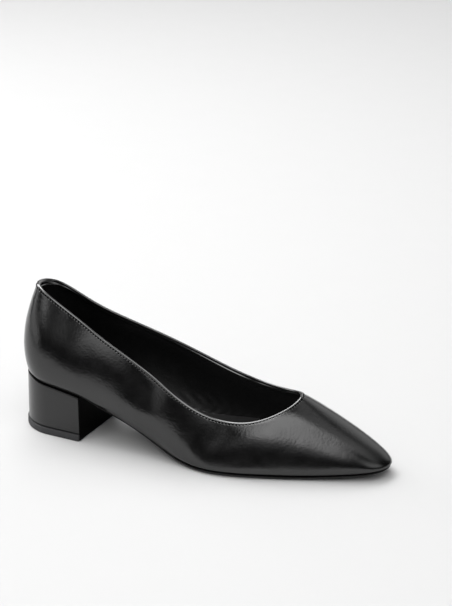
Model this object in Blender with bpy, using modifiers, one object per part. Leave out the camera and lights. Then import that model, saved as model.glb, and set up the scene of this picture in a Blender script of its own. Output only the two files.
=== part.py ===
"""Low heel pump for the right foot: a pointed leather upper on a thin sole and a covered block heel.

Sizes are millimetres in the frame of the last: along runs from the back of the heel to the toe,
across is positive to the wearer's left, which is the inner side of this foot, and up is the height
over the floor. Every mesh hangs from one empty that puts the middle of the shoe's box at the origin.
"""
from collections import namedtuple

import bmesh
import bpy
import numpy as np

MM = 0.001

# Driving sizes of the last
SHOE_LENGTH = 251.0
BALL_WIDTH = 74.0
SEAT_HEIGHT = 40.2
COLLAR_HEIGHT = 96.2
MID_ALONG = 125.05
MID_ACROSS = -4.0

# Leather, sole and heel sizes
WALL = 1.8
GAP = 0.3
LASTING_MARGIN = 6.5
BEAD_RADIUS = 1.0
COUNTER_STEP = 0.6
COUNTER_REACH = 0.1
COUNTER_ROW = 0.87
SOLE_FOREPART = 3.3
SOLE_INSET = 1.0
SOLE_BEVEL = 0.8
INSOLE_THICKNESS = 2.0
INSOLE_INSET = 2.9
INSOLE_TOE_INSET = 7.0
INSOLE_TOE_START = 0.88
TIP_THICKNESS = 4.5
HEEL_AXIS_ACROSS = 0.2
HEEL_TURN_DEG = -5.0
CREASE_DEG = 35.0

# Bottom of the last. along: per cent of the length. rise: per cent of the seat's height over the
# forepart, where 100 is the back of the heel and the last rows are the toe spring. sole: thickness.
Station = namedtuple("Station", "along rise sole")
BOTTOM = (
    Station(0.0, 100.0, 2.0),
    Station(9.6, 89.6, 2.0),
    Station(19.1, 79.2, 2.0),
    Station(24.7, 64.0, 2.0),
    Station(30.3, 45.8, 2.0),
    Station(35.9, 28.0, 2.1),
    Station(42.2, 12.1, 2.6),
    Station(48.6, 2.3, 3.1),
    Station(53.8, 0.0, 3.3),
    Station(75.7, 0.0, 3.3),
    Station(90.8, 4.0, 2.7),
    Station(100.4, 9.8, 2.1),
)

# Ribs of the upper, from the back along the outer side to the toe and home along the inner side.
# foot: the feather edge, top: the topline. along is in per cent of the length, across of the ball
# width, up of the collar height. The wall leaves the foot by roll_out and roll_up and meets the
# topline from lean_out and lean_down, all four in millimetres.
Rib = namedtuple("Rib", "foot_along foot_across top_along top_across top_up"
                        " roll_out roll_up lean_out lean_down")
RIBS = (
    Rib(0.2, 0.1, 3.1, 0.6, 100.1, 3.9, 20, 6, 20),           # back seam
    Rib(3.6, -27.4, 5.6, -14.0, 99.2, 5.8, 21, 8.6, 18),      # outer heel quarter
    Rib(12.0, -37.6, 15.1, -19.5, 86.2, 3.2, 16, 8, 14),      # outer heel side
    Rib(22.3, -38.9, 24.7, -25.2, 73.5, 2.5, 9, 9, 14),       # outer shank
    Rib(33.9, -35.8, 35.9, -33.6, 61.1, 12.5, 12, 3.4, 13),   # outer waist
    Rib(45.0, -45.6, 47.0, -42.2, 46.8, 8, 15, 3, 10),        # outer joint
    Rib(55.8, -56.8, 56.2, -41.4, 36.3, 0.6, 3.2, 5.5, 9.5),  # outer ball
    Rib(66.1, -53.1, 63.7, -37.6, 34.4, 0.5, 3.2, 7.5, 7.5),  # outer vamp
    Rib(76.9, -42.3, 69.5, -27.7, 36.9, 1.0, 4.0, 10, 4.8),   # outer toe quarter
    Rib(87.2, -30.6, 73.3, -15.9, 40.9, 2, 5.5, 14, 6),       # outer toe side
    Rib(94.1, -21.5, 74.7, -7.8, 42.8, 3, 7.2, 20, 9.5),      # outer toe shoulder
    Rib(98.2, -12.8, 75.3, -2.0, 44.1, 3, 6.5, 24, 12.5),     # beside the toe tip, outer
    Rib(99.9, 2.2, 75.5, 3.5, 45.1, 3, 6, 26, 14),            # toe tip and throat
    Rib(98.3, 13.6, 75.1, 8.4, 45.0, 2.8, 6, 23, 13),         # beside the toe tip, inner
    Rib(94.4, 20.3, 74.2, 13.4, 44.2, 2.5, 6.3, 18.5, 11),    # inner toe shoulder
    Rib(88.4, 26.5, 72.1, 20.3, 42.2, 2.5, 7, 14, 9),         # inner toe side
    Rib(79.3, 35.7, 68.1, 28.8, 39.7, 3, 8, 9, 8),            # inner toe quarter
    Rib(69.7, 42.6, 61.8, 35.9, 39.5, 4, 10, 6, 9),           # inner vamp
    Rib(59.8, 43.2, 54.6, 36.8, 43.9, 4.5, 12, 5, 10),        # inner ball
    Rib(47.8, 33.8, 46.2, 33.2, 53.0, 7, 13, 7, 11),          # inner joint
    Rib(35.1, 21.6, 35.9, 27.0, 64.7, 11, 15, 10, 10),        # inner waist
    Rib(23.1, 26.4, 24.7, 21.2, 75.5, 7.5, 20, 11, 10),       # inner shank
    Rib(12.7, 31.5, 15.1, 17.8, 85.9, 7, 24, 14, 14),         # inner heel side
    Rib(3.7, 25.7, 5.9, 14.5, 97.4, 5, 21, 8.5, 18),          # inner heel quarter
)
COLUMNS_PER_RIB = 4
COLUMNS = len(RIBS) * COLUMNS_PER_RIB
WALL_ROWS = (0.0, 0.05, 0.12, 0.2, 0.3, 0.42, 0.54, 0.66, 0.77, 0.855, 0.885, 1.0)
PLATE_SHARES = (0.0, 0.25, 0.5, 0.75, 1.0)

# Plan of the heel, measured from its back along its own axis: back edge, breast and half width
HeelLevel = namedtuple("HeelLevel", "back breast half_width")
BLOCK_TOP = HeelLevel(1.6, 50.4, 25.0)
BLOCK_BOTTOM = HeelLevel(0.2, 51.4, 26.3)
TIP_EDGE = HeelLevel(-0.7, 51.8, 27.0)
HEEL_ARC_POINTS = 29


def rib_column(name):
    """One named column of the rib table."""
    return np.array([getattr(rib, name) for rib in RIBS], dtype=float)


def smooth_profile(along, knots, values):
    """Monotone cubic through the knots, level wherever two neighbours are level."""
    width = np.diff(knots)
    slope = np.diff(values) / width
    tangent = np.concatenate([slope[:1], np.zeros(len(slope) - 1), slope[-1:]])
    for k in range(1, len(slope)):
        before, after = slope[k - 1], slope[k]
        if before * after > 0.0:
            weight = 2.0 * width[k] + width[k - 1], width[k] + 2.0 * width[k - 1]
            tangent[k] = sum(weight) / (weight[0] / before + weight[1] / after)
    along = np.clip(along, knots[0], knots[-1])
    k = np.clip(np.searchsorted(knots, along) - 1, 0, len(width) - 1)
    t = (along - knots[k]) / width[k]
    start = (1.0 + 2.0 * t) * (1.0 - t) ** 2 * values[k] + t * (1.0 - t) ** 2 * width[k] * tangent[k]
    end = t * t * (3.0 - 2.0 * t) * values[k + 1] + t * t * (t - 1.0) * width[k] * tangent[k + 1]
    return start + end


def seat_height(along):
    """Height of the upper's underside, from the heel seat through the arch to the toe spring."""
    knots = np.array([row.along for row in BOTTOM]) * SHOE_LENGTH / 100.0
    rise = np.array([row.rise for row in BOTTOM])
    forepart = SOLE_FOREPART + GAP
    return forepart + (SEAT_HEIGHT - forepart) * smooth_profile(along, knots, rise) / 100.0


def sole_thickness(along):
    knots = np.array([row.along for row in BOTTOM]) * SHOE_LENGTH / 100.0
    return smooth_profile(along, knots, np.array([row.sole for row in BOTTOM]))


def closed_spline(values, knots, period, where):
    """Closed cubic spline, smooth to the second derivative, through one row of values per knot."""
    count = len(knots)
    step = np.diff(np.append(knots, knots[0] + period))
    slope = (np.roll(values, -1, axis=0) - values) / step[:, None]
    system = np.zeros((count, count))
    for i in range(count):
        system[i, i - 1] += step[i - 1]
        system[i, i] += 2.0 * (step[i - 1] + step[i])
        system[i, (i + 1) % count] += step[i]
    bend = np.linalg.solve(system, 6.0 * (slope - np.roll(slope, 1, axis=0)))
    k = np.clip(np.searchsorted(knots, where, side="right") - 1, 0, count - 1)
    after = (k + 1) % count
    width = step[k][:, None]
    left = (where - knots[k])[:, None]
    right = width - left
    curve = (bend[k] * right ** 3 + bend[after] * left ** 3) / (6.0 * width)
    curve += (values[k] / width - bend[k] * width / 6.0) * right
    curve += (values[after] / width - bend[after] * width / 6.0) * left
    return curve


def loop_outward(loop):
    """Level unit vectors that point out of a closed loop that runs anticlockwise from above."""
    run = np.roll(loop[:, :2], -1, axis=0) - np.roll(loop[:, :2], 1, axis=0)
    run /= np.linalg.norm(run, axis=1)[:, None]
    return np.column_stack([run[:, 1], -run[:, 0]])


def rib_curves():
    """The four Bezier points of every rib of the upper, each an array of COLUMNS points."""
    table = np.column_stack([
        rib_column("foot_along") * SHOE_LENGTH / 100.0,
        rib_column("foot_across") * BALL_WIDTH / 100.0,
        rib_column("top_along") * SHOE_LENGTH / 100.0,
        rib_column("top_across") * BALL_WIDTH / 100.0,
        rib_column("top_up") * COLLAR_HEIGHT / 100.0,
        rib_column("roll_out"), rib_column("roll_up"),
        rib_column("lean_out"), rib_column("lean_down"),
    ])
    hop = np.roll(table, -1, axis=0) - table
    span = np.linalg.norm(hop[:, 0:2], axis=1) + np.linalg.norm(hop[:, 2:5], axis=1)
    knots = np.concatenate([[0.0], np.cumsum(span)[:-1]])
    shares = np.arange(COLUMNS_PER_RIB) / COLUMNS_PER_RIB
    where = (knots[:, None] + span[:, None] * shares).ravel()
    rows = closed_spline(table, knots, span.sum(), where)
    foot = np.column_stack([rows[:, 0:2], seat_height(rows[:, 0])])
    top = rows[:, 2:5]
    roll = foot + np.column_stack([loop_outward(foot) * rows[:, 5:6], rows[:, 6]])
    lean = top + np.column_stack([loop_outward(top) * rows[:, 7:8], -rows[:, 8]])
    return foot, roll, lean, top


def upper_wall():
    """Outer face of the wall as rows of points, and the topline's frame for the bead."""
    foot, roll, lean, top = rib_curves()
    rise = (top - lean) / np.linalg.norm(top - lean, axis=1)[:, None]
    edge = top - rise * (2.0 * BEAD_RADIUS + GAP)
    t = np.array(WALL_ROWS)[:, None, None]
    wall = (1 - t) ** 3 * foot + 3 * (1 - t) ** 2 * t * roll + 3 * (1 - t) * t ** 2 * lean + t ** 3 * edge
    along_edge = np.roll(edge, -1, axis=0) - np.roll(edge, 1, axis=0)
    outward = np.cross(along_edge, rise)
    outward /= np.linalg.norm(outward, axis=1)[:, None]
    return wall, edge, rise, outward


def counter_inset(wall):
    """The collar's back steps in over the stiff counter, most at the back seam and none at the sides."""
    behind = wall[..., 0] - wall[:, :1, 0]
    near_back = np.clip(1.0 - behind / (COUNTER_REACH * SHOE_LENGTH), 0.0, 1.0)
    above = (np.array(WALL_ROWS) > COUNTER_ROW)[:, None]
    return COUNTER_STEP * near_back * above


def inset_loop(distance):
    """Feather edge moved inwards in plan, the outline of what lies on it or under it."""
    foot = rib_curves()[0]
    return foot[:, :2] - loop_outward(foot) * distance


def mesh_object(name, bm, material, parent):
    """The faces as one smooth object under the shoe's empty."""
    mesh = bpy.data.meshes.new(name)
    bm.to_mesh(mesh)
    bm.free()
    mesh.shade_smooth()
    mesh.set_sharp_from_angle(angle=np.radians(CREASE_DEG))
    mesh.materials.append(material)
    part = bpy.data.objects.new(name, mesh)
    part.parent = parent
    shoe.objects.link(part)
    return part


def add_loop(bm, points):
    return [bm.verts.new(np.asarray(p, dtype=float) * MM) for p in points]


def bridge(bm, lower, upper):
    """Quads between two closed loops of the same number of vertices."""
    for i in range(len(lower)):
        j = (i + 1) % len(lower)
        bm.faces.new((lower[i], lower[j], upper[j], upper[i]))


def add_lid(bm, loop, height):
    """Ladder of rungs from the outer to the inner side of a loop; gives the rim's vertices back."""
    half = COLUMNS // 2
    rim = [None] * COLUMNS
    last_row = None
    for rung in range(half + 1):
        outer, inner = loop[rung], loop[-rung]
        shares = (0.0,) if rung in (0, half) else PLATE_SHARES
        plan = np.array([outer + (inner - outer) * share for share in shares])
        row = add_loop(bm, np.column_stack([plan, height(plan[:, 0])]))
        rim[rung], rim[-rung] = row[0], row[-1]
        if last_row:
            for k in range(len(PLATE_SHARES) - 1):
                corners = [last_row[min(k, len(last_row) - 1)], row[min(k, len(row) - 1)],
                           row[min(k + 1, len(row) - 1)], last_row[min(k + 1, len(last_row) - 1)]]
                bm.faces.new(dict.fromkeys(corners))
        last_row = row
    return rim


def principled(name, colour, roughness):
    material = bpy.data.materials.new(name)
    material.use_nodes = True
    shader = material.node_tree.nodes["Principled BSDF"]
    shader.inputs["Base Color"].default_value = (*colour, 1.0)
    shader.inputs["Roughness"].default_value = roughness
    shader.inputs["Metallic"].default_value = 0.0
    return material


def build_upper(parent):
    """Outer face of the leather with its margin turned under, given its thickness by Solidify."""
    wall, _, _, outward = upper_wall()
    wall = wall - outward * counter_inset(wall)[..., None]
    bm = bmesh.new()
    loops = []
    for share in (1.0, 0.5):
        plan = inset_loop(LASTING_MARGIN * share)
        loops.append(add_loop(bm, np.column_stack([plan, seat_height(plan[:, 0])])))
    loops += [add_loop(bm, row) for row in wall]
    for lower, upper in zip(loops, loops[1:]):
        bridge(bm, lower, upper)
    part = mesh_object("upper", bm, principled("upper_nappa", (0.012, 0.012, 0.013), 0.38), parent)
    shell = part.modifiers.new("leather", "SOLIDIFY")
    shell.thickness = WALL * MM
    shell.offset = -1.0
    shell.use_even_offset = True
    return part


def build_topline_binding(parent):
    """Rolled bead that runs once round the collar on the edge of the leather."""
    _, edge, rise, outward = upper_wall()
    centre = edge + rise * (GAP + BEAD_RADIUS) - outward * WALL / 2.0
    curve = bpy.data.curves.new("topline_binding", "CURVE")
    curve.dimensions = "3D"
    curve.bevel_depth = BEAD_RADIUS * MM
    curve.bevel_resolution = 2
    spline = curve.splines.new("POLY")
    spline.points.add(COLUMNS - 1)
    for point, place in zip(spline.points, centre * MM):
        point.co = (*place, 1.0)
    spline.use_cyclic_u = True
    curve.materials.append(principled("binding_nappa", (0.02, 0.02, 0.021), 0.3))
    part = bpy.data.objects.new("topline_binding", curve)
    part.parent = parent
    shoe.objects.link(part)
    return part


def build_outsole(parent):
    """Thin sole under the lasting margin, with a bevelled lower edge."""
    def top(along):
        return seat_height(along) - GAP

    def bottom(along):
        return top(along) - sole_thickness(along)

    edge = inset_loop(SOLE_INSET)
    bm = bmesh.new()
    upper_rim = add_lid(bm, edge, top)
    bevel_rim = add_loop(bm, np.column_stack([edge, bottom(edge[:, 0]) + SOLE_BEVEL]))
    lower_rim = add_lid(bm, inset_loop(SOLE_INSET + SOLE_BEVEL), bottom)
    bridge(bm, lower_rim, bevel_rim)
    bridge(bm, bevel_rim, upper_rim)
    bmesh.ops.recalc_face_normals(bm, faces=bm.faces)
    return mesh_object("outsole", bm, principled("sole_resin", (0.02, 0.02, 0.021), 0.5), parent)


def build_insole(parent):
    """Board and sock that lie on the lasting margin inside the shoe."""
    def bottom(along):
        return seat_height(along) + WALL + GAP

    def top(along):
        return bottom(along) + INSOLE_THICKNESS

    along = rib_curves()[0][:, :1] / SHOE_LENGTH
    toe_share = np.clip((along - INSOLE_TOE_START) / (1.0 - INSOLE_TOE_START), 0.0, 1.0)
    edge = inset_loop(INSOLE_INSET + (INSOLE_TOE_INSET - INSOLE_INSET) * toe_share)
    bm = bmesh.new()
    bridge(bm, add_lid(bm, edge, bottom), add_lid(bm, edge, top))
    bmesh.ops.recalc_face_normals(bm, faces=bm.faces)
    return mesh_object("insole", bm, principled("sock_leather", (0.014, 0.014, 0.015), 0.55), parent)


def heel_plan(level):
    """D shaped outline of the heel: a round back, straight sides and a flat breast."""
    depth = level.half_width
    swing = np.radians(np.linspace(-90.0, 90.0, HEEL_ARC_POINTS))
    along = np.concatenate([level.back + depth * (1.0 - np.cos(swing)), [level.breast, level.breast]])
    across = np.concatenate([np.sin(swing), [1.0, -1.0]]) * level.half_width
    turn = np.radians(HEEL_TURN_DEG)
    return np.column_stack([
        along * np.cos(turn) - across * np.sin(turn),
        along * np.sin(turn) + across * np.cos(turn) + HEEL_AXIS_ACROSS,
    ])


def build_prism(name, bottom, top, material, parent):
    """Block between two loops of the same number of points, closed by flat ends."""
    bm = bmesh.new()
    lower, upper = add_loop(bm, bottom), add_loop(bm, top)
    bridge(bm, lower, upper)
    bm.faces.new(lower)
    bm.faces.new(upper)
    bmesh.ops.recalc_face_normals(bm, faces=bm.faces)
    return mesh_object(name, bm, material, parent)


def build_heel(parent):
    """Covered block that fills the height from the top piece to the sole under the heel seat."""
    lower, upper = heel_plan(BLOCK_BOTTOM), heel_plan(BLOCK_TOP)
    foot = np.full(len(lower), TIP_THICKNESS + GAP)
    seat = seat_height(upper[:, 0]) - sole_thickness(upper[:, 0]) - 2.0 * GAP
    bottom, top = np.column_stack([lower, foot]), np.column_stack([upper, seat])
    lacquer = principled("heel_lacquer", (0.012, 0.012, 0.013), 0.22)
    return build_prism("heel", bottom, top, lacquer, parent)


def build_heel_tip(parent):
    """Rubber top piece that the heel stands on, a little proud of the block."""
    plan = heel_plan(TIP_EDGE)
    bottom = np.column_stack([plan, np.zeros(len(plan))])
    top = np.column_stack([plan, np.full(len(plan), TIP_THICKNESS)])
    rubber = principled("tip_rubber", (0.025, 0.025, 0.027), 0.6)
    return build_prism("heel_tip", bottom, top, rubber, parent)


for leftover in list(bpy.data.objects):
    bpy.data.objects.remove(leftover)

shoe = bpy.data.collections.new("low_heel_pump")
bpy.context.scene.collection.children.link(shoe)
last_frame = bpy.data.objects.new("last_frame", None)
last_frame.location = (-MID_ALONG * MM, -MID_ACROSS * MM, 0.0)
shoe.objects.link(last_frame)
for build in (build_upper, build_topline_binding, build_outsole, build_insole, build_heel, build_heel_tip):
    build(last_frame)
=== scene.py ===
"""Low heel pump for the right foot, dressed piece by piece in the order that a maker puts it together.

Sizes are millimetres in the frame of the last: along runs from the back of the heel to the toe, across
is positive to the wearer's left, the inner side of this foot, and up is the height over the floor.
"""
from collections import namedtuple

import bmesh
import bpy
import numpy as np
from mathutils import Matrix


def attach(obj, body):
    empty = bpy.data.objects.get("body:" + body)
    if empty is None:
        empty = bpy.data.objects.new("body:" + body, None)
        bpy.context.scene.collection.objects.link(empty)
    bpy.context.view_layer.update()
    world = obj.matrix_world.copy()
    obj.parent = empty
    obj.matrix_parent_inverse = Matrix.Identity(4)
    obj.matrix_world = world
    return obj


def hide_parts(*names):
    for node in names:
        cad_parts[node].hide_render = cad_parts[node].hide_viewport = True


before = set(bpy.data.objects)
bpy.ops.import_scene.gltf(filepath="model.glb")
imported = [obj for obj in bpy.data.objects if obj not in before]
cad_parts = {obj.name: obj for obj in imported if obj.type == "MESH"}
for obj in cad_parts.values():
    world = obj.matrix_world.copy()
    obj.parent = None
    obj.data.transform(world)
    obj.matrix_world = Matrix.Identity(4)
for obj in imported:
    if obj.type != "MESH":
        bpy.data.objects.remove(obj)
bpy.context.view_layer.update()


# Upper: vamp and quarters of black nappa, lasted over the bottom and glued under by a narrow margin.
# The wall is a row of ribs from the feather edge to the topline; the stiff counter shows as a small
# step below the collar's back.
MM = 0.001
SHOE_LENGTH, BALL_WIDTH, SEAT_HEIGHT, COLLAR_HEIGHT = 251.0, 74.0, 40.2, 96.2
MID_ALONG, MID_ACROSS = 125.05, -4.0
SOLE_FOREPART, GAP = 3.3, 0.3
BINDING_DEPTH = 2.3
LEATHER = 1.1
LASTING_MARGIN = 6.5
FEATHER_ROUND = 1.0
FEATHER_ROUND_SHARE = 0.03
COUNTER_STEP, COUNTER_REACH = 0.13, 0.05
COUNTER_ROWS = (0.845, 0.858, 0.870, 0.882, 0.895)
FEATHER_TURN = (0.0, 0.2, 0.4, 0.6, 0.8)
MARGIN_FOLD = 3.0
UNLINED_ROWS = 4
UPPER_COLUMNS = 384
WALL_SHARES = np.concatenate([
    np.linspace(FEATHER_ROUND_SHARE, 0.83, 40), COUNTER_ROWS, np.linspace(0.91, 1.0, 8)])
BLACK_DYE = (0.003, 0.003, 0.0031)

# The grain of the leather in features per metre, from the softest to the finest.
CRUMPLE, GATHERS, WRINKLE, GRAIN, FINE_GRAIN, PORES = 60.0, 190.0, 220.0, 700.0, 1100.0, 1500.0
Fade = namedtuple("Fade", "low_level full_level least")
LASTED_SMOOTH = Fade(13.0, 27.0, 0.15)

Station = namedtuple("Station", "along rise sole")
BOTTOM = (
    Station(0.0, 100.0, 2.0),
    Station(9.6, 89.6, 2.0),
    Station(19.1, 79.2, 2.0),
    Station(24.7, 64.0, 2.0),
    Station(30.3, 45.8, 2.0),
    Station(35.9, 28.0, 2.1),
    Station(42.2, 12.1, 2.6),
    Station(48.6, 2.3, 3.1),
    Station(53.8, 0.0, 3.3),
    Station(75.7, 0.0, 3.3),
    Station(90.8, 4.0, 2.5),
    Station(100.4, 9.8, 1.7),
)

Rib = namedtuple("Rib", "foot_along foot_across top_along top_across top_up"
                        " roll_out roll_up lean_out lean_down")
RIBS = (
    Rib(0.2, 0.1, 3.1, 0.6, 100.1, 3.9, 20, 6, 20),           # back seam
    Rib(3.6, -27.4, 5.6, -14.0, 99.2, 5.8, 21, 8.6, 18),      # outer heel quarter
    Rib(12.0, -37.6, 15.1, -19.5, 86.2, 3.2, 16, 8, 14),      # outer heel side
    Rib(22.3, -38.9, 24.7, -25.2, 73.5, 2.5, 9, 9, 14),       # outer shank
    Rib(33.9, -35.8, 35.9, -33.6, 61.1, 12.5, 12, 3.4, 13),   # outer waist
    Rib(45.0, -45.6, 47.0, -42.2, 46.8, 8, 15, 3, 10),        # outer joint
    Rib(55.8, -56.8, 56.2, -41.4, 36.3, 0.6, 3.2, 5.5, 9.5),  # outer ball
    Rib(66.1, -53.1, 63.7, -37.6, 34.4, 0.5, 3.2, 7.5, 7.5),  # outer vamp
    Rib(76.9, -42.3, 69.5, -27.7, 36.9, 1.0, 4.0, 10, 4.8),   # outer toe quarter
    Rib(87.2, -30.6, 73.3, -15.9, 40.9, 2, 5.5, 14, 6),       # outer toe side
    Rib(94.1, -21.5, 74.7, -7.8, 42.8, 3, 7.2, 20, 9.5),      # outer toe shoulder
    Rib(98.2, -12.8, 75.3, -2.0, 44.1, 3, 6.5, 24, 12.5),     # beside the toe tip, outer
    Rib(99.9, 2.2, 75.5, 3.5, 45.1, 3, 6, 26, 14),            # toe tip and throat
    Rib(98.3, 13.6, 75.1, 8.4, 45.0, 2.8, 6, 23, 13),         # beside the toe tip, inner
    Rib(94.4, 20.3, 74.2, 13.4, 44.2, 2.5, 6.3, 18.5, 11),    # inner toe shoulder
    Rib(88.4, 26.5, 72.1, 20.3, 42.2, 2.5, 7, 14, 9),         # inner toe side
    Rib(79.3, 35.7, 68.1, 28.8, 39.7, 3, 8, 9, 8),            # inner toe quarter
    Rib(69.7, 42.6, 61.8, 35.9, 39.5, 4, 10, 6, 9),           # inner vamp
    Rib(59.8, 43.2, 54.6, 36.8, 43.9, 4.5, 12, 5, 10),        # inner ball
    Rib(47.8, 33.8, 46.2, 33.2, 53.0, 7, 13, 7, 11),          # inner joint
    Rib(35.1, 21.6, 35.9, 27.0, 64.7, 11, 15, 10, 10),        # inner waist
    Rib(23.1, 26.4, 24.7, 21.2, 75.5, 7.5, 20, 11, 10),       # inner shank
    Rib(12.7, 31.5, 15.1, 17.8, 85.9, 7, 24, 14, 14),         # inner heel side
    Rib(3.7, 25.7, 5.9, 14.5, 97.4, 5, 21, 8.5, 18),          # inner heel quarter
)

Fold = namedtuple("Fold", "along up reach_along reach_up slant height")
OUTER_SIDE = (2.0, -6.0)
OUTER_FOLDS = (
    Fold(45.0, 69.0, 16.0, 14.0, -0.3, -0.7),      # hollow in front of the stiff counter
    Fold(100.0, 45.0, 10.0, 16.0, 0.0, -0.9),      # hollow where the quarter turns into the waist
    Fold(83.0, 29.0, 18.0, 11.0, -0.3, 1.2),       # fullness over the shank
    Fold(78.0, 50.0, 14.0, 12.0, -0.4, 0.6),       # fullness of the quarter under the topline
    Fold(142.0, 23.0, 10.0, 9.0, 0.3, -0.5),       # hollow below the topline, which stands upright here
    Fold(117.0, 14.0, 14.0, 9.0, 0.0, 0.5),        # fullness where the sole comes down to the floor
    Fold(151.0, 13.5, 13.0, 8.0, 0.15, 0.6),       # fullness over the little toe's joint
    Fold(166.0, 4.5, 24.0, 6.5, 0.0, 0.4),         # fullness over the ball
    Fold(245.0, 14.5, 6.0, 1.8, -0.45, -0.25),     # crease over the toe's edge
)


def smooth_profile(along, knots, values):
    """Monotone cubic through the knots, level wherever two neighbours are level."""
    width = np.diff(knots)
    slope = np.diff(values) / width
    tangent = np.concatenate([slope[:1], np.zeros(len(slope) - 1), slope[-1:]])
    for k in range(1, len(slope)):
        before, after = slope[k - 1], slope[k]
        if before * after > 0.0:
            weight = 2.0 * width[k] + width[k - 1], width[k] + 2.0 * width[k - 1]
            tangent[k] = sum(weight) / (weight[0] / before + weight[1] / after)
    along = np.clip(along, knots[0], knots[-1])
    k = np.clip(np.searchsorted(knots, along) - 1, 0, len(width) - 1)
    t = (along - knots[k]) / width[k]
    start = (1.0 + 2.0 * t) * (1.0 - t) ** 2 * values[k] + t * (1.0 - t) ** 2 * width[k] * tangent[k]
    end = t * t * (3.0 - 2.0 * t) * values[k + 1] + t * t * (t - 1.0) * width[k] * tangent[k + 1]
    return start + end


def seat_height(along):
    """Height of the upper's underside, from the heel seat through the arch to the toe spring."""
    knots = np.array([row.along for row in BOTTOM]) * SHOE_LENGTH / 100.0
    rise = np.array([row.rise for row in BOTTOM])
    forepart = SOLE_FOREPART + GAP
    return forepart + (SEAT_HEIGHT - forepart) * smooth_profile(along, knots, rise) / 100.0


def closed_spline(values, knots, period, where):
    """Closed cubic spline, smooth to the second derivative, through one row of values per knot."""
    count = len(knots)
    step = np.diff(np.append(knots, knots[0] + period))
    slope = (np.roll(values, -1, axis=0) - values) / step[:, None]
    system = np.zeros((count, count))
    for i in range(count):
        system[i, i - 1] += step[i - 1]
        system[i, i] += 2.0 * (step[i - 1] + step[i])
        system[i, (i + 1) % count] += step[i]
    bend = np.linalg.solve(system, 6.0 * (slope - np.roll(slope, 1, axis=0)))
    k = np.clip(np.searchsorted(knots, where, side="right") - 1, 0, count - 1)
    after = (k + 1) % count
    width = step[k][:, None]
    left = (where - knots[k])[:, None]
    right = width - left
    curve = (bend[k] * right ** 3 + bend[after] * left ** 3) / (6.0 * width)
    curve += (values[k] / width - bend[k] * width / 6.0) * right
    curve += (values[after] / width - bend[after] * width / 6.0) * left
    return curve


def loop_outward(loop):
    """Level unit vectors that point out of a closed loop that runs anticlockwise from above."""
    run = np.roll(loop[:, :2], -1, axis=0) - np.roll(loop[:, :2], 1, axis=0)
    run /= np.linalg.norm(run, axis=1)[:, None]
    return np.column_stack([run[:, 1], -run[:, 0]])


def rib_table():
    """The rib table in millimetres, with the place of each rib along the closed spline."""
    unit = np.array([SHOE_LENGTH, BALL_WIDTH, SHOE_LENGTH, BALL_WIDTH, COLLAR_HEIGHT] + [100.0] * 4)
    table = np.array(RIBS, dtype=float) * unit / 100.0
    hop = np.roll(table, -1, axis=0) - table
    span = np.linalg.norm(hop[:, 0:2], axis=1) + np.linalg.norm(hop[:, 2:5], axis=1)
    return table, np.concatenate([[0.0], np.cumsum(span)[:-1]]), span


def even_places(columns):
    """The same number of places between each rib and the next."""
    _, knots, span = rib_table()
    shares = np.arange(columns // len(RIBS)) / (columns // len(RIBS))
    return (knots[:, None] + span[:, None] * shares).ravel()


def rib_curves(where):
    """The four Bezier points of the rib at each place: foot, roll, lean and topline."""
    table, knots, span = rib_table()
    rows = closed_spline(table, knots, span.sum(), where)
    foot = np.column_stack([rows[:, 0:2], seat_height(rows[:, 0])])
    top = rows[:, 2:5]
    roll = foot + np.column_stack([loop_outward(foot) * rows[:, 5:6], rows[:, 6]])
    lean = top + np.column_stack([loop_outward(top) * rows[:, 7:8], -rows[:, 8]])
    return foot, roll, lean, top


def unit_rows(vectors):
    return vectors / np.linalg.norm(vectors, axis=-1, keepdims=True)


def smooth_step(low, high, value):
    share = np.clip((value - low) / (high - low), 0.0, 1.0)
    return share * share * (3.0 - 2.0 * share)


def fold_height(points):
    """Soft troughs and ridges of the outer side at these points of the wall."""
    height = np.zeros(points.shape[:-1])
    for fold in OUTER_FOLDS:
        ahead = points[..., 0] - fold.along
        above = points[..., 2] - fold.up - fold.slant * ahead
        height += fold.height * np.exp(-(ahead / fold.reach_along) ** 2 - (above / fold.reach_up) ** 2)
    return height * smooth_step(*OUTER_SIDE, points[..., 1])


def wall_rows(where, shares):
    """Outer face of the leather at these shares of its height, with the normals that point out of it."""
    foot, roll, lean, top = rib_curves(where)
    rise = unit_rows(top - lean)
    edge = top - rise * BINDING_DEPTH
    t = np.asarray(shares)[:, None, None]
    wall = (1 - t) ** 3 * foot + 3 * (1 - t) ** 2 * t * roll + 3 * (1 - t) * t ** 2 * lean + t ** 3 * edge
    climb = (1 - t) ** 2 * (roll - foot) + 2 * (1 - t) * t * (lean - roll) + t ** 2 * (edge - lean)
    normal = unit_rows(np.cross(np.roll(wall, -1, axis=1) - np.roll(wall, 1, axis=1), climb))
    behind = 1.0 - (wall[..., 0] - wall[:, :1, 0]) / (COUNTER_REACH * SHOE_LENGTH)
    step = smooth_step(COUNTER_ROWS[0], COUNTER_ROWS[-1], t[..., 0]) * smooth_step(0.0, 1.0, behind)
    lift = fold_height(wall) - COUNTER_STEP * step
    return wall + normal * lift[..., None], normal


def inset_row(where, distance, lift=0.0):
    """Feather edge moved inwards in plan, at the height of the last's bottom plus a lift."""
    foot = rib_curves(where)[0]
    plan = foot[:, :2] - loop_outward(foot) * distance
    return np.column_stack([plan, seat_height(plan[:, 0]) + lift])


def mesh_piece(name, bm, smooth_deg=50.0):
    """The faces as one object at the origin, smooth but for its sharp edges."""
    mesh = bpy.data.meshes.new(name)
    bm.to_mesh(mesh)
    bm.free()
    mesh.shade_smooth()
    mesh.set_sharp_from_angle(angle=np.radians(smooth_deg))
    piece = bpy.data.objects.new(name, mesh)
    bpy.context.scene.collection.objects.link(piece)
    return piece


def add_row(bm, points):
    shift = np.array([MID_ALONG, MID_ACROSS, 0.0])
    return [bm.verts.new(p) for p in (np.asarray(points) - shift) * MM]


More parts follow.
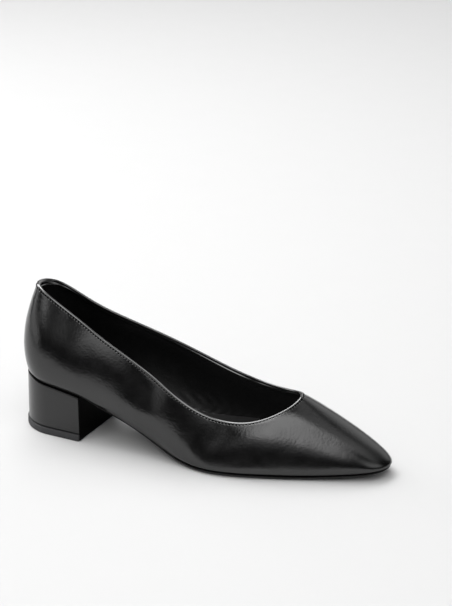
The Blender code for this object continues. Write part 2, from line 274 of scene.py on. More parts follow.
def bridge(bm, lower, upper):
    """Quads between two closed rows of the same number of vertices."""
    for i in range(len(lower)):
        j = (i + 1) % len(lower)
        bm.faces.new((lower[i], lower[j], upper[j], upper[i]))


def ring_piece(name, rows, smooth_deg=50.0):
    """Closed skin through rows that follow each other round a section and end where they began."""
    bm = bmesh.new()
    loops = [add_row(bm, row) for row in rows]
    for lower, upper in zip(loops, loops[1:] + loops[:1]):
        bridge(bm, lower, upper)
    return mesh_piece(name, bm, smooth_deg)


def finish_piece(piece, node, material):
    """Gives a finished piece its material, parents it to the body it moves with and hides the CAD part it
    replaces.
    """
    piece.data.materials.clear()
    piece.data.materials.append(material)
    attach(piece, "root")
    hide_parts(node)
    return piece


def new_material(name, colour, roughness, specular=0.5):
    material = bpy.data.materials.new(name)
    material.use_nodes = True
    shader = material.node_tree.nodes["Principled BSDF"]
    shader.inputs["Base Color"].default_value = (*colour, 1.0)
    shader.inputs["Roughness"].default_value = roughness
    shader.inputs["Specular IOR Level"].default_value = specular
    return material, shader


def noise_height(tree, scale, detail, stretch=(1.0, 1.0, 1.0)):
    """Noise on Object coordinates; scale is in features per metre."""
    coordinate = tree.nodes.new("ShaderNodeTexCoord")
    mapping = tree.nodes.new("ShaderNodeMapping")
    mapping.inputs["Scale"].default_value = stretch
    noise = tree.nodes.new("ShaderNodeTexNoise")
    noise.inputs["Scale"].default_value = scale
    noise.inputs["Detail"].default_value = detail
    tree.links.new(coordinate.outputs["Object"], mapping.inputs["Vector"])
    tree.links.new(mapping.outputs["Vector"], noise.inputs["Vector"])
    return noise.outputs["Fac"]


def pore_height(tree, scale):
    """Cells of leather grain on Object coordinates, high in the middle and low at their edges."""
    coordinate = tree.nodes.new("ShaderNodeTexCoord")
    cells = tree.nodes.new("ShaderNodeTexVoronoi")
    cells.feature = "SMOOTH_F1"
    cells.inputs["Scale"].default_value = scale
    cells.inputs["Smoothness"].default_value = 0.4
    cells.inputs["Randomness"].default_value = 0.9
    tree.links.new(coordinate.outputs["Object"], cells.inputs["Vector"])
    return cells.outputs["Distance"]


def crease_height(tree, scale, stretch):
    """Net of narrow ridges on Object coordinates, like thin leather that has gathered."""
    coordinate = tree.nodes.new("ShaderNodeTexCoord")
    bend = tree.nodes.new("ShaderNodeVectorMath")
    bend.operation = "MULTIPLY_ADD"
    bend.inputs[1].default_value = (0.012, 0.012, 0.0)
    wander = tree.nodes.new("ShaderNodeTexNoise")
    wander.inputs["Scale"].default_value = 110.0
    mapping = tree.nodes.new("ShaderNodeMapping")
    mapping.inputs["Scale"].default_value = stretch
    cells = tree.nodes.new("ShaderNodeTexVoronoi")
    cells.feature = "DISTANCE_TO_EDGE"
    cells.inputs["Scale"].default_value = scale
    ridge = tree.nodes.new("ShaderNodeMapRange")
    ridge.interpolation_type = "SMOOTHSTEP"
    ridge.inputs["From Max"].default_value = 0.22
    ridge.inputs["To Min"].default_value = 1.0
    ridge.inputs["To Max"].default_value = 0.0
    tree.links.new(coordinate.outputs["Object"], wander.inputs["Vector"])
    tree.links.new(wander.outputs["Color"], bend.inputs[0])
    tree.links.new(coordinate.outputs["Object"], bend.inputs[2])
    tree.links.new(bend.outputs["Vector"], mapping.inputs["Vector"])
    tree.links.new(mapping.outputs["Vector"], cells.inputs["Vector"])
    tree.links.new(cells.outputs["Distance"], ridge.inputs["Value"])
    return ridge.outputs["Result"]


def add_bump(tree, shader, layers):
    """Chain of bumps, each a height output with its depth in millimetres."""
    last = None
    for height, depth in layers:
        bump = tree.nodes.new("ShaderNodeBump")
        bump.inputs["Strength"].default_value = 1.0
        bump.inputs["Distance"].default_value = depth * MM
        tree.links.new(height, bump.inputs["Height"])
        if last:
            tree.links.new(last, bump.inputs["Normal"])
        last = bump.outputs["Normal"]
    tree.links.new(last, shader.inputs["Normal"])


def vary(tree, socket, height, low, high):
    """Lets a height output move a shader value between two limits."""
    spread = tree.nodes.new("ShaderNodeMapRange")
    spread.inputs["From Min"].default_value = 0.3
    spread.inputs["From Max"].default_value = 0.7
    spread.inputs["To Min"].default_value = low
    spread.inputs["To Max"].default_value = high
    tree.links.new(height, spread.inputs["Value"])
    tree.links.new(spread.outputs["Result"], socket)


def fade_down(tree, height, fade):
    """Lets a height output sink to its least share below a level over the floor."""
    coordinate = tree.nodes.new("ShaderNodeTexCoord")
    level = tree.nodes.new("ShaderNodeSeparateXYZ")
    share = tree.nodes.new("ShaderNodeMapRange")
    share.interpolation_type = "SMOOTHSTEP"
    share.inputs["From Min"].default_value = fade.low_level * MM
    share.inputs["From Max"].default_value = fade.full_level * MM
    share.inputs["To Min"].default_value = fade.least
    scaled = tree.nodes.new("ShaderNodeMath")
    scaled.operation = "MULTIPLY"
    tree.links.new(coordinate.outputs["Object"], level.inputs["Vector"])
    tree.links.new(level.outputs["Z"], share.inputs["Value"])
    tree.links.new(height, scaled.inputs[0])
    tree.links.new(share.outputs["Result"], scaled.inputs[1])
    return scaled.outputs["Value"]


def nappa(name, colour, roughness, pore, crumple, specular=0.75, gather=0.0, coat=0.0):
    """Smooth dyed leather: a soft crumple, grain that is stretched flat low on the last, fine pores."""
    material, shader = new_material(name, colour, roughness, specular)
    shader.inputs["Coat Weight"].default_value = coat
    shader.inputs["Coat Roughness"].default_value = 0.12
    tree = material.node_tree
    cloud = noise_height(tree, 140.0, 3.0)
    vary(tree, shader.inputs["Roughness"], cloud, roughness - 0.03, roughness + 0.04)
    grain = fade_down(tree, noise_height(tree, GRAIN, 1.0), LASTED_SMOOTH)
    fine_grain = fade_down(tree, noise_height(tree, FINE_GRAIN, 1.0), LASTED_SMOOTH)
    add_bump(tree, shader, (
        (noise_height(tree, CRUMPLE, 2.0), crumple),
        (noise_height(tree, WRINKLE, 1.0), crumple * 0.12),
        (grain, pore * 0.9),
        (fine_grain, pore * 0.3),
        (pore_height(tree, PORES), pore * 0.2),
        (crease_height(tree, GATHERS, (1.0, 1.6, 1.0)), gather),
    ))
    return material


places = even_places(UPPER_COLUMNS)
outer_face, outer_normal = wall_rows(places, WALL_SHARES)
feather_start = inset_row(places, FEATHER_ROUND)
feather_corner = inset_row(places, 0.0)
feather_turn = [
    (1 - s) ** 2 * feather_start + 2 * (1 - s) * s * feather_corner + s * s * outer_face[0]
    for s in FEATHER_TURN]
inner_face = (outer_face - outer_normal * LEATHER)[UNLINED_ROWS:]
upper_rows = [inset_row(places, LASTING_MARGIN), inset_row(places, MARGIN_FOLD)]
upper_rows += feather_turn + list(outer_face) + list(inner_face[::-1])
upper_rows += [inset_row(places, MARGIN_FOLD, LEATHER), inset_row(places, LASTING_MARGIN, LEATHER)]
upper_piece = ring_piece("upper_leather", upper_rows)
upper_nappa = nappa("black_nappa", BLACK_DYE, 0.18, pore=0.08, crumple=0.18)
finish_piece(upper_piece, "upper", upper_nappa)


# Lining: thin soft leather glued inside the upper, from the binding down to the edge of the sock. It
# wrinkles a little where it is lasted in along the inner ball and the arch.
LINING = 0.62
LINING_GLUE = 0.06
LINING_SHARES = np.linspace(0.035, 0.982, 46)
PUCKER_DEPTH = 0.22
PUCKER_TURN, PUCKER_WANDER, WANDER_TURN = 0.9, 3.0, 0.35
PUCKER_SHARES = (0.08, 0.5)
PUCKER_SIDE = (-2.0, 12.0)
PUCKER_BACK, PUCKER_FRONT = (80.0, 110.0), (165.0, 200.0)

lining_back, lining_normal = wall_rows(places, LINING_SHARES)
lining_outer = lining_back - lining_normal * (LEATHER + LINING_GLUE)
lining_inner = lining_back - lining_normal * (LEATHER + LINING_GLUE + LINING)
along, across, up = np.moveaxis(lining_inner, -1, 0)
low_on_wall = 1.0 - smooth_step(*PUCKER_SHARES, LINING_SHARES)[:, None]
inner_side = smooth_step(*PUCKER_SIDE, across)
forepart = smooth_step(*PUCKER_BACK, along) * (1.0 - smooth_step(*PUCKER_FRONT, along))
pucker = np.sin(along * PUCKER_TURN + PUCKER_WANDER * np.sin(up * WANDER_TURN))
pucker = PUCKER_DEPTH * pucker * low_on_wall * inner_side * forepart
lining_inner = lining_inner + lining_normal * pucker[..., None]
lining_piece = ring_piece("lining", list(lining_inner[::-1]) + list(lining_outer))
bm = bmesh.new()
bm.from_mesh(lining_piece.data)
bmesh.ops.recalc_face_normals(bm, faces=bm.faces)
bm.to_mesh(lining_piece.data)
bm.free()
lining_leather = nappa("lining_leather", BLACK_DYE, 0.42, pore=0.08, crumple=0.5, specular=0.4)
finish_piece(lining_piece, "upper", lining_leather)


# Topline binding: the edge of the leather rolled over a cord into a bead, drawn in below by a row of
# stitches, with a turned lip inside against the lining. It runs once round the collar.
STITCH_PITCH = 2.15
COLUMNS_PER_STITCH = 8
PAD_HEIGHT = 0.42

Lap = namedtuple("Lap", "down out pad")
BINDING_SECTION = (
    Lap(3.5, -0.30, 0.0),      # skived edge under the leather's face
    Lap(3.2, -0.04, 0.0),
    Lap(2.9, 0.0, 0.0),
    Lap(2.65, -0.04, 0.2),
    Lap(2.4, -0.18, 0.6),
    Lap(2.12, -0.38, 1.0),     # drawn in by the thread, full between the stitches
    Lap(1.9, -0.44, 1.0),
    Lap(1.68, -0.30, 0.7),
    Lap(1.5, -0.06, 0.2),
    Lap(1.26, 0.06, 0.0),      # bead
    Lap(0.9, 0.05, 0.0),
    Lap(0.58, -0.08, 0.0),
    Lap(0.28, -0.30, 0.0),
    Lap(0.08, -0.58, 0.0),
    Lap(0.0, -0.82, 0.0),
    Lap(0.06, -1.06, 0.0),
    Lap(0.24, -1.28, 0.0),
    Lap(0.55, -1.42, 0.0),
    Lap(0.95, -1.42, 0.0),
    Lap(1.3, -1.26, 0.0),
    Lap(1.6, -1.0, 0.0),       # inner groove
    Lap(2.0, -0.9, 0.0),
    Lap(2.4, -0.98, 0.0),
    Lap(2.65, -1.5, 0.0),
    Lap(2.9, -2.0, 0.0),       # turned lip on the lining
    Lap(3.3, -2.14, 0.0),
    Lap(3.7, -1.98, 0.0),
    Lap(4.1, -1.6, 0.0),
    Lap(4.2, -0.9, 0.0),
)
COLLAR_PAD = 2.6
COLLAR_PAD_FADE = (2.0, 16.0)
COLLAR_PAD_INSIDE = (0.5, 1.6)
TOPLINE_SHARES = np.linspace(0.86, 1.0, 15)
TOPLINE_SAMPLES = 6000


def topline_places():
    """Places an even distance apart along the topline, a whole number of columns to each stitch."""
    _, _, span = rib_table()
    fine = np.linspace(0.0, span.sum(), TOPLINE_SAMPLES, endpoint=False)
    top = rib_curves(fine)[3]
    hop = np.linalg.norm(np.roll(top, -1, axis=0) - top, axis=1)
    length = np.concatenate([[0.0], np.cumsum(hop)])
    stitches = int(round(length[-1] / STITCH_PITCH))
    even = np.arange(stitches * COLUMNS_PER_STITCH) * length[-1] / (stitches * COLUMNS_PER_STITCH)
    return np.interp(even, length, np.append(fine, span.sum())), stitches


def topline_frame(where, down):
    """Points on the leather's face this far below the topline, and their outward normals."""
    face, normal = wall_rows(where, TOPLINE_SHARES)
    _, _, lean, top = rib_curves(where)
    rise = unit_rows(top - lean)
    over = rise * np.maximum(BINDING_DEPTH - down, 0.0)[:, None]
    below = np.maximum(down - BINDING_DEPTH, 0.0)
    run = np.linalg.norm(np.diff(face[::-1], axis=0), axis=2).cumsum(axis=0)
    run = np.vstack([np.zeros((1, len(where))), run])
    high = np.clip((run < below).sum(axis=0), 1, len(TOPLINE_SHARES) - 1)
    column = np.arange(len(where))
    part = (below - run[high - 1, column]) / (run[high, column] - run[high - 1, column])
    part = np.clip(part, 0.0, 1.0)[:, None]
    flipped, flipped_normal = face[::-1], normal[::-1]
    point = flipped[high - 1, column] * (1.0 - part) + flipped[high, column] * part
    out = flipped_normal[high - 1, column] * (1.0 - part) + flipped_normal[high, column] * part
    return point + over, unit_rows(out)


stitch_places, stitch_count = topline_places()
stitch_phase = np.arange(len(stitch_places)) / COLUMNS_PER_STITCH
pad_wave = np.sin(np.pi * stitch_phase) ** 4
binding_rows = []
for lap in BINDING_SECTION:
    point, out = topline_frame(stitch_places, np.full(len(stitch_places), lap.down))
    at_back = 1.0 - smooth_step(*COLLAR_PAD_FADE, point[:, 0])
    padded = COLLAR_PAD * at_back * smooth_step(*COLLAR_PAD_INSIDE, -lap.out)
    lift = lap.out + PAD_HEIGHT * lap.pad * pad_wave - padded
    binding_rows.append(point + out * lift[:, None])
binding_piece = ring_piece("topline_binding_leather", binding_rows, smooth_deg=80.0)
binding_nappa = nappa(
    "binding_nappa", BLACK_DYE, 0.14, pore=0.008, crumple=0.01, specular=1.0, coat=1.0)
finish_piece(binding_piece, "topline_binding", binding_nappa)


# Topstitching: a waxed black thread sewn through binding and lining in the groove below the bead. Each
# stitch is a short bar that dips into the leather at both ends.
THREAD_RADIUS = 0.46
STITCH_LENGTH = 1.4
STITCH_DOWN = 2.0
STITCH_OUT = -0.06

point, out = topline_frame(stitch_places, np.full(len(stitch_places), STITCH_DOWN))
bm = bmesh.new()
path = add_row(bm, point + out * STITCH_OUT)
for i in range(len(path)):
    bm.edges.new((path[i], path[(i + 1) % len(path)]))
stitch_piece = mesh_piece("topline_stitches", bm)
thread, shader = new_material("waxed_thread", BLACK_DYE, 0.7, 0.03)
add_bump(thread.node_tree, shader, ((noise_height(thread.node_tree, 4200.0, 1.0), 0.03),))

tree = bpy.data.node_groups.new("stitch_row", "GeometryNodeTree")
tree.interface.new_socket("Path", in_out="INPUT", socket_type="NodeSocketGeometry")
for socket_name in ("Pitch", "Length", "Radius"):
    tree.interface.new_socket(socket_name, in_out="INPUT", socket_type="NodeSocketFloat")
tree.interface.new_socket("Stitches", in_out="OUTPUT", socket_type="NodeSocketGeometry")
given = tree.nodes.new("NodeGroupInput")
made = tree.nodes.new("NodeGroupOutput")
to_curve = tree.nodes.new("GeometryNodeMeshToCurve")
to_points = tree.nodes.new("GeometryNodeCurveToPoints")
to_points.mode = "LENGTH"
bar = tree.nodes.new("GeometryNodeMeshUVSphere")
bar.inputs["Segments"].default_value = 8
bar.inputs["Rings"].default_value = 7
bar.inputs["Radius"].default_value = 1.0
size = tree.nodes.new("ShaderNodeCombineXYZ")
half = tree.nodes.new("ShaderNodeMath")
half.operation = "MULTIPLY"
half.inputs[1].default_value = 0.5
turn = tree.nodes.new("FunctionNodeAlignRotationToVector")
turn.axis = "Z"
place_bars = tree.nodes.new("GeometryNodeInstanceOnPoints")
realize = tree.nodes.new("GeometryNodeRealizeInstances")
smooth = tree.nodes.new("GeometryNodeSetShadeSmooth")
paint = tree.nodes.new("GeometryNodeSetMaterial")
paint.inputs["Material"].default_value = thread
for source, target in (
        (given.outputs["Path"], to_curve.inputs["Mesh"]),
        (to_curve.outputs["Curve"], to_points.inputs["Curve"]),
        (given.outputs["Pitch"], to_points.inputs["Length"]),
        (to_points.outputs["Points"], place_bars.inputs["Points"]),
        (bar.outputs["Mesh"], place_bars.inputs["Instance"]),
        (to_points.outputs["Tangent"], turn.inputs["Vector"]),
        (turn.outputs["Rotation"], place_bars.inputs["Rotation"]),
        (given.outputs["Radius"], size.inputs["X"]),
        (given.outputs["Radius"], size.inputs["Y"]),
        (given.outputs["Length"], half.inputs[0]),
        (half.outputs["Value"], size.inputs["Z"]),
        (size.outputs["Vector"], place_bars.inputs["Scale"]),
        (place_bars.outputs["Instances"], realize.inputs["Geometry"]),
        (realize.outputs["Geometry"], smooth.inputs["Geometry"]),
        (smooth.outputs["Geometry"], paint.inputs["Geometry"]),
        (paint.outputs["Geometry"], made.inputs["Stitches"])):
    tree.links.new(source, target)
sewing = stitch_piece.modifiers.new("sewing", "NODES")
sewing.node_group = tree
socket_ids = {item.name: item.identifier
              for item in tree.interface.items_tree if item.in_out == "INPUT"}
path_length = np.linalg.norm(np.roll(point, -1, axis=0) - point, axis=1).sum()
sewing[socket_ids["Pitch"]] = float(path_length / stitch_count * MM)
sewing[socket_ids["Length"]] = STITCH_LENGTH * MM
sewing[socket_ids["Radius"]] = THREAD_RADIUS * MM
evaluated = stitch_piece.evaluated_get(bpy.context.evaluated_depsgraph_get())
sewn = bpy.data.meshes.new_from_object(evaluated)
stitch_piece.modifiers.remove(sewing)
stitch_piece.data = sewn
finish_piece(stitch_piece, "topline_binding", thread)


# Sock: the insole board covered by a leather sock that lies on the lasting margin and runs up to the
# lining all round, a little cupped where the foot presses it.
SOCK_THICKNESS = 1.8
SOCK_TOP = 4.1
SOCK_CUP = 0.7
SOCK_CLEAR = 0.12
SOCK_RUNGS = 25
WELD = 0.02


def sock_outline():
    """Where the lining's face meets the height of the sock's top, moved in by a hair."""
    height = lining_inner[..., 2] - seat_height(lining_inner[..., 0])
    high = np.argmax(height > SOCK_TOP, axis=0).clip(1)
    column = np.arange(height.shape[1])
    part = (SOCK_TOP - height[high - 1, column]) / (height[high, column] - height[high - 1, column])
    part = np.clip(part, 0.0, 1.0)[:, None]
    line = lining_inner[high - 1, column] * (1.0 - part) + lining_inner[high, column] * part
    return line[:, :2] - loop_outward(line) * SOCK_CLEAR


def lid_rows(outline, shares, height):
    """Rungs from the outer to the inner side of a closed outline, with the height of each point."""
    half = len(outline) // 2
    rungs = []
    for rung in range(half + 1):
        outer, inner = outline[rung], outline[-rung]
        plan = outer + (inner - outer) * shares[:, None]
        rungs.append(np.column_stack([plan, height(plan[:, 0], shares)]))
    return rungs


def plate_piece(name, outline, shares, top, bottom, side_rows=(), smooth_deg=50.0):
    """Plate between two lids of rungs, with rows of points down its side from the top to the bottom."""
    bm = bmesh.new()
    rims = []
    for height, outlined in ((top, outline[0]), (bottom, outline[-1])):
        rungs = [add_row(bm, row) for row in lid_rows(outlined, shares, height)]
        for lower, upper in zip(rungs, rungs[1:]):
            for k in range(len(shares) - 1):
                bm.faces.new((lower[k], lower[k + 1], upper[k + 1], upper[k]))
        rims.append([row[0] for row in rungs] + [row[-1] for row in rungs[-2:0:-1]])
    loops = [rims[0]] + [add_row(bm, row) for row in side_rows] + [rims[1]]
    for lower, upper in zip(loops, loops[1:]):
        bridge(bm, lower, upper)
    bmesh.ops.remove_doubles(bm, verts=bm.verts, dist=WELD * MM)
    bmesh.ops.recalc_face_normals(bm, faces=bm.faces)
    return mesh_piece(name, bm, smooth_deg)


def sock_top(along, shares):
    cup = 1.0 - (2.0 * shares - 1.0) ** 4
    return seat_height(along) + SOCK_TOP - SOCK_CUP * cup


def sock_bottom(along, shares):
    return sock_top(along, shares) - SOCK_THICKNESS


sock_edge = sock_outline()
sock_shares = np.linspace(0.0, 1.0, SOCK_RUNGS)
sock_piece = plate_piece("sock", (sock_edge, sock_edge), sock_shares, sock_top, sock_bottom)
sock_leather = nappa(
    "sock_leather", (0.012, 0.012, 0.0122), 0.42, pore=0.09, crumple=0.4, specular=0.7, gather=0.05)
finish_piece(sock_piece, "insole", sock_leather)


# Outsole: thin dyed unit glued under the lasting margin, set in behind the feather edge so that a
# shadow line shows, with its edge rounded and its lower corner bevelled.
SOLE_INSET = 2.3
SOLE_TREAD_INSET = 9.0
SEAT_INSET = 1.4
SEAT_FADE = (44.0, 66.0)
SOLE_SHARES = np.linspace(0.0, 1.0, 15)

SoleEdge = namedtuple("SoleEdge", "inset height")
SOLE_EDGE = (
    SoleEdge(2.7, 0.36),
    SoleEdge(1.1, 0.62),
    SoleEdge(0.7, 0.56),
    SoleEdge(0.6, 0.38),
    SoleEdge(0.9, 0.25),
    SoleEdge(2.2, 0.16),
    SoleEdge(5.0, 0.06),
)


def sole_thickness(along):
    knots = np.array([row.along for row in BOTTOM]) * SHOE_LENGTH / 100.0
    return smooth_profile(along, knots, np.array([row.sole for row in BOTTOM]))


def sole_top(along, shares):
    return seat_height(along) - GAP


def sole_bottom(along, shares):
    return sole_top(along, shares) - sole_thickness(along)


def sole_plan(inset):
    """Feather edge moved in, further at the heel seat, where the sole stays behind the heel's cover."""
    foot = rib_curves(places)[0]
    seat = 1.0 - smooth_step(*SEAT_FADE, foot[:, 0])
    return inset_row(places, (inset + SEAT_INSET * seat)[:, None])[:, :2]


sole_sides = []
for edge_row in SOLE_EDGE:
    plan = sole_plan(edge_row.inset)
    low, high = sole_bottom(plan[:, 0], None), sole_top(plan[:, 0], None)
    sole_sides.append(np.column_stack([plan, low + (high - low) * edge_row.height]))
sole_outline = (sole_plan(SOLE_INSET), sole_plan(SOLE_TREAD_INSET))
sole_piece = plate_piece("outsole_unit", sole_outline, SOLE_SHARES, sole_top, sole_bottom, sole_sides)
sole_resin, shader = new_material("dyed_sole", (0.006, 0.006, 0.0062), 0.36)
tree = sole_resin.node_tree
vary(tree, shader.inputs["Roughness"], noise_height(tree, 260.0, 3.0), 0.32, 0.46)
add_bump(tree, shader, ((noise_height(tree, 900.0, 2.0), 0.015),))
finish_piece(sole_piece, "outsole", sole_resin)


# Heel: low block of moulded plastic with a smooth black cover, straight in the sides and flat in the
# breast. It is screwed and glued under the heel seat, with its top cut to the slope of the sole.
TIP_THICKNESS = 4.5
HEEL_AXIS_ACROSS, HEEL_TURN_DEG = 0.2, -5.0
HEEL_EDGE_ROUND = 0.5
BACK_STEPS, CORNER_STEPS, BREAST_STEPS = 65, 6, 7
HEEL_LEVELS = np.concatenate([[0.0, 0.02, 0.028], np.linspace(0.08, 0.92, 9), [0.98, 0.994, 1.0]])
HEEL_EDGE_INSETS = np.array([0.9, 0.8] + [0.0] * 11 + [0.1, 0.35])

HeelLevel = namedtuple("HeelLevel", "back breast half_width")
BLOCK_TOP = HeelLevel(1.6, 50.4, 25.0)
BLOCK_BOTTOM = HeelLevel(1.2, 51.4, 26.3)
TIP_EDGE = HeelLevel(0.5, 51.3, 27.0)


def turned_plan(along, across):
    """Plan of the heel turned to the line of the heel seat."""
    turn = np.radians(HEEL_TURN_DEG)
    return np.column_stack([
        along * np.cos(turn) - across * np.sin(turn),
        along * np.sin(turn) + across * np.cos(turn) + HEEL_AXIS_ACROSS,
    ])


def heel_plan(back, breast, half_width, inset=0.0):
    """D shaped outline: a round back, straight sides and a flat breast with softened corners."""
    swing = np.radians(np.linspace(-90.0, 90.0, BACK_STEPS))
    radius = half_width - inset
    corner = np.radians(np.linspace(0.0, 90.0, CORNER_STEPS))
    soft = HEEL_EDGE_ROUND
    along = [back + inset + radius * (1.0 - np.cos(swing))]
    across = [radius * np.sin(swing)]
    front = breast - inset
    along.append(front - soft + soft * np.sin(corner))
    across.append(radius - soft + soft * np.cos(corner))
    along.append(np.full(BREAST_STEPS, front))
    across.append(np.linspace(radius - soft, soft - radius, BREAST_STEPS + 2)[1:-1])
    along.append(front - soft + soft * np.cos(corner))
    across.append(soft - radius - soft * np.sin(corner))
    return turned_plan(np.concatenate(along), np.concatenate(across))


def block_piece(name, rows, smooth_deg):
    """Block through closed rows from the bottom to the top, shut by a face at each end."""
    bm = bmesh.new()
    loops = [add_row(bm, row) for row in rows]
    for lower, upper in zip(loops, loops[1:]):
        bridge(bm, lower, upper)
    bm.faces.new(loops[0])
    bm.faces.new(loops[-1])
    bmesh.ops.recalc_face_normals(bm, faces=bm.faces)
    return mesh_piece(name, bm, smooth_deg)


def at_level(plan, level):
    """The plan at a share of the way from the top piece to the underside of the sole."""
    foot = TIP_THICKNESS + GAP
    seat = seat_height(plan[:, 0]) - sole_thickness(plan[:, 0]) - 2.0 * GAP
    return np.column_stack([plan, foot + (seat - foot) * level])


def block_sizes(level):
    return np.array(BLOCK_BOTTOM) * (1.0 - level) + np.array(BLOCK_TOP) * level


heel_rows = [at_level(heel_plan(*block_sizes(level), inset), level)
             for level, inset in zip(HEEL_LEVELS, HEEL_EDGE_INSETS)]
heel_piece = block_piece("heel_block", heel_rows, 40.0)
heel_cover, shader = new_material("heel_cover", (0.004, 0.004, 0.0042), 0.2, 0.6)
tree = heel_cover.node_tree
vary(tree, shader.inputs["Roughness"], noise_height(tree, 180.0, 3.0), 0.17, 0.24)
add_bump(tree, shader, (
    (noise_height(tree, 60.0, 1.0), 0.03),
    (noise_height(tree, 800.0, 2.0), 0.008),
))
finish_piece(heel_piece, "heel", heel_cover)


# Heel breast: a flap of black leather glued over the flat front of the block and hanging down over
# the front of the top piece, cut just short of the corners so that a fine line shows beside it. The flap
# reflects almost nothing, which is painted shade: the breast stays black as if shaded under the arch.
BREAST_FLAP = 0.35
BREAST_MARGIN = 0.4
BREAST_FOOT = 0.6
BREAST_COLUMNS = 13


def breast_plan(level, sunk):
    """Outline of the flap at this level of the block, its back sunk this far into the block's face."""
    _, breast, half_width = block_sizes(level)
    across = np.linspace(-1.0, 1.0, BREAST_COLUMNS) * (half_width - BREAST_MARGIN)
    along = np.repeat([breast + BREAST_FLAP, breast - sunk], BREAST_COLUMNS)
    return turned_plan(along, np.concatenate([across, across[::-1]]))


# The flap runs down over the top piece's front, so that this face also shows painted shade and does not
# reflect the lit floor.
foot_plan = breast_plan(0.0, 0.0)
breast_rows = [np.column_stack([foot_plan, np.full(len(foot_plan), height)])
               for height in (BREAST_FOOT, TIP_THICKNESS)]
for level in HEEL_LEVELS[2:-1]:
    breast_rows.append(at_level(breast_plan(level, BREAST_FLAP), level))
breast_piece = block_piece("heel_breast_flap_painted_shade", breast_rows, 40.0)
# Specular of 0.01 is painted shade: the breast stays black where it would otherwise reflect the lit
# floor.
breast_painted_shade_leather = nappa("breast_painted_shade_leather", BLACK_DYE, 0.5, pore=0.05, crumple=0.06, specular=0.01)
finish_piece(breast_piece, "heel", breast_painted_shade_leather)


# Top piece: hard black rubber nailed under the heel, trimmed a little proud of the cover, with a dull
# ground edge.
TipLevel = namedtuple("TipLevel", "height inset")
TIP_LEVELS = (
    TipLevel(0.0, 0.4),
    TipLevel(0.12, 0.25),
    TipLevel(0.4, 0.0),
    TipLevel(4.15, 0.0),
    TipLevel(4.4, 0.15),
    TipLevel(TIP_THICKNESS, 0.4),
)

tip_rows = []
for level in TIP_LEVELS:
    plan = heel_plan(*TIP_EDGE, level.inset)
    tip_rows.append(np.column_stack([plan, np.full(len(plan), level.height)]))
tip_piece = block_piece("heel_top_piece", tip_rows, 40.0)
tip_rubber, shader = new_material("tip_rubber", (0.03, 0.03, 0.032), 0.58)
tree = tip_rubber.node_tree
vary(tree, shader.inputs["Roughness"], noise_height(tree, 400.0, 3.0), 0.5, 0.68)
add_bump(tree, shader, (
    (noise_height(tree, 900.0, 2.0, stretch=(1.0, 1.0, 4.0)), 0.03),
    (noise_height(tree, 3000.0, 1.0), 0.015),
))
finish_piece(tip_piece, "heel_tip", tip_rubber)


# Studio: a pale floor, a tall key panel on the camera's side, a softbox behind, weaker panels all round
# and the camera at the photograph's place. Panels are set in metres and degrees round the shoe.
FLOOR_HALF = 6.0
FLOOR_TONE = 0.59
WORLD_TONE = 0.03
CAMERA_AZIMUTH, CAMERA_ELEVATION = 22.18, 22.24
CAMERA_DISTANCE = 1305.0
CAMERA_AIM = (109.32, 74.20, 67.11)
CAMERA_LENS = 115.2
SENSOR = 36.0

bm = bmesh.new()
corners = ((-1, -1), (1, -1), (1, 1), (-1, 1))
bm.faces.new([bm.verts.new((x * FLOOR_HALF, y * FLOOR_HALF, 0.0)) for x, y in corners])
floor = mesh_piece("floor", bm)
pale, shader = new_material("pale_floor", (FLOOR_TONE,) * 3, 0.7, 0.2)
tree = pale.node_tree
vary(tree, shader.inputs["Roughness"], noise_height(tree, 30.0, 2.0), 0.65, 0.75)
floor.data.materials.append(pale)

turn, tilt = np.radians(CAMERA_AZIMUTH), np.radians(CAMERA_ELEVATION)
back = np.array([np.sin(turn) * np.cos(tilt), -np.cos(turn) * np.cos(tilt), np.sin(tilt)])
aim = np.array(CAMERA_AIM) - np.array([MID_ALONG, MID_ACROSS, 0.0])
camera_data = bpy.data.cameras.new("camera")
camera_data.sensor_fit = "VERTICAL"
camera_data.sensor_height = SENSOR
camera_data.lens = CAMERA_LENS
camera = bpy.data.objects.new("camera", camera_data)
camera.location = (aim + back * CAMERA_DISTANCE) * MM
camera.rotation_euler = (np.pi / 2.0 - tilt, 0.0, turn)
bpy.context.scene.collection.objects.link(camera)
bpy.context.scene.camera = camera

Panel = namedtuple("Panel", "name azimuth elevation distance facing_turn facing_tilt"
                            " width height soft watts")
PANELS = (
    Panel("key_strip", 289.5, 48.2, 2.01, 279.5, 90.0, 1.4, 3.3, 0.5, 42.0),
    Panel("overhead", 200.0, 72.0, 2.0, 200.0, 72.0, 1.2, 1.2, 0.4, 15.5),
    Panel("back_softbox", 140.0, 57.0, 1.8, 140.0, 57.0, 1.7, 1.3, 0.3, 46.0),
    Panel("side_softbox", 232.0, 40.0, 1.8, 232.0, 40.0, 1.15, 1.5, 0.45, 8.5),
    Panel("front_fill", 247.0, 30.0, 1.8, 247.0, 30.0, 0.75, 0.9, 0.36, 0.9),
    Panel("vamp_fill", 278.0, 24.0, 1.8, 278.0, 24.0, 1.45, 0.4, 0.38, 1.0),
    Panel("heel_softbox", 168.0, 24.0, 1.8, 168.0, 24.0, 1.2, 1.2, 0.4, 24.0),
    Panel("left_fill", 206.0, 9.0, 1.9, 206.0, 9.0, 2.3, 0.75, 0.45, 6.2),
    Panel("backdrop", 84.0, 25.0, 2.0, 84.0, 25.0, 3.2, 2.1, 0.9, 16.0),
    Panel("ceiling", 30.0, 58.0, 1.9, 30.0, 58.0, 1.8, 1.5, 0.7, 6.0),
    Panel("toe_fill", 340.0, 30.0, 1.8, 340.0, 30.0, 2.2, 1.6, 0.8, 12.0),
)


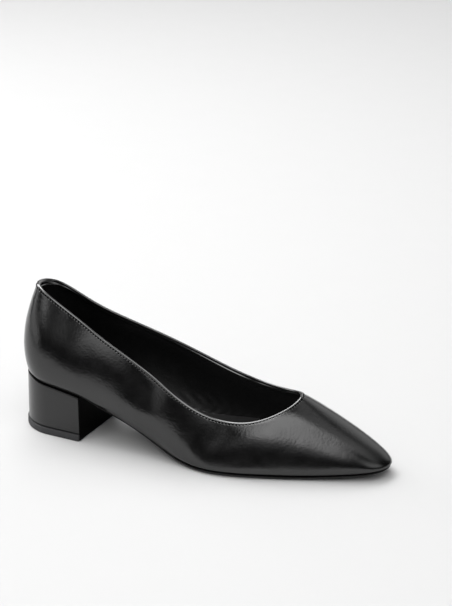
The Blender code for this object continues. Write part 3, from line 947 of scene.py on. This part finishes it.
def soften_edges(light, soft):
    """Lets a panel fade over this many metres at its sides, like the cloth front of a softbox."""
    light.use_nodes = True
    tree = light.node_tree
    where = tree.nodes.new("ShaderNodeNewGeometry")
    sides = tree.nodes.new("ShaderNodeSeparateXYZ")
    tree.links.new(where.outputs["Parametric"], sides.inputs["Vector"])
    both = tree.nodes.new("ShaderNodeMath")
    both.operation = "MULTIPLY"
    for k, (side, reach) in enumerate((("X", light.size), ("Y", light.size_y))):
        middle = tree.nodes.new("ShaderNodeMath")
        middle.operation = "SUBTRACT"
        middle.inputs[1].default_value = 0.5
        away = tree.nodes.new("ShaderNodeMath")
        away.operation = "ABSOLUTE"
        fade = tree.nodes.new("ShaderNodeMapRange")
        fade.interpolation_type = "SMOOTHSTEP"
        fade.inputs["From Min"].default_value = 0.5 - min(soft / reach, 0.5)
        fade.inputs["From Max"].default_value = 0.5
        fade.inputs["To Min"].default_value = 1.0
        fade.inputs["To Max"].default_value = 0.0
        tree.links.new(sides.outputs[side], middle.inputs[0])
        tree.links.new(middle.outputs["Value"], away.inputs[0])
        tree.links.new(away.outputs["Value"], fade.inputs["Value"])
        tree.links.new(fade.outputs["Result"], both.inputs[k])
    tree.links.new(both.outputs["Value"], tree.nodes["Emission"].inputs["Strength"])


for panel in PANELS:
    turn, tilt = np.radians(panel.azimuth), np.radians(panel.elevation)
    light = bpy.data.lights.new(panel.name, "AREA")
    light.shape = "RECTANGLE"
    light.size, light.size_y = panel.width, panel.height
    light.energy = panel.watts
    soften_edges(light, panel.soft)
    lamp = bpy.data.objects.new(panel.name, light)
    level = panel.distance * np.cos(tilt)
    lamp.location = (level * np.cos(turn), level * np.sin(turn), panel.distance * np.sin(tilt))
    facing = (90.0 - panel.facing_tilt, 0.0, 90.0 + panel.facing_turn)
    lamp.rotation_euler = np.radians(facing)
    bpy.context.scene.collection.objects.link(lamp)

world = bpy.data.worlds.new("studio")
world.use_nodes = True
world.node_tree.nodes["Background"].inputs["Color"].default_value = (*(WORLD_TONE,) * 3, 1.0)
bpy.context.scene.world = world
bpy.context.scene.view_settings.view_transform = "Standard"
